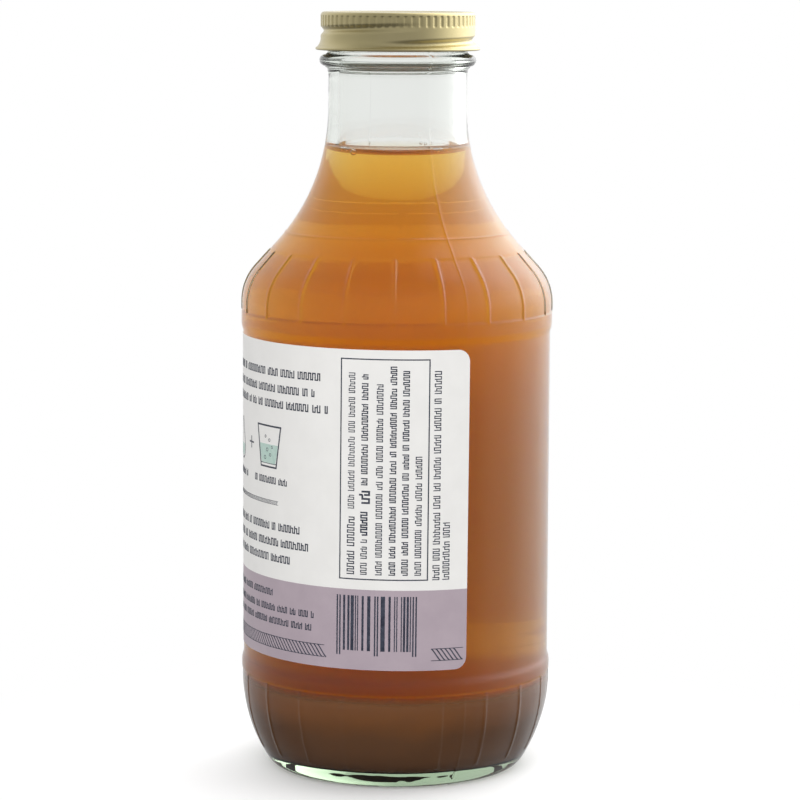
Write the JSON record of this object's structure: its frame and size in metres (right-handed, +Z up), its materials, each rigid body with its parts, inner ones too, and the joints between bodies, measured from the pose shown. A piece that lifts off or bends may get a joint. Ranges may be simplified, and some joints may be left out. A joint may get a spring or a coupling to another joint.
{
  "type": "drinking vinegar bottle",
  "caption": "Clear glass decanter bottle of amber drinking vinegar with settled sediment, a wrap label and a gold metal screw cap.",
  "frame": {"origin": "on the bottle's axis, at the plane that it stands on", "axes": "+Z up along the axis; -Y faces the right-hand end of the wrap label"},
  "size_m": [0.0778, 0.0778, 0.1888],
  "materials": {
    "glass": "clear flint glass with a faint green tint where it is thick",
    "drink": "translucent amber liquid, paler and more golden at the top",
    "sediment": "cloudy dull brown settled layer",
    "cap": "satin gold lacquer on tinplate",
    "label": "matte off-white paper with a lilac band and dark print"
  },
  "bodies": {
    "root": {"bottle": "glass", "drink": "drink", "sediment": "sediment", "cap": "cap", "label": "label"}
  },
  "joints": []
}
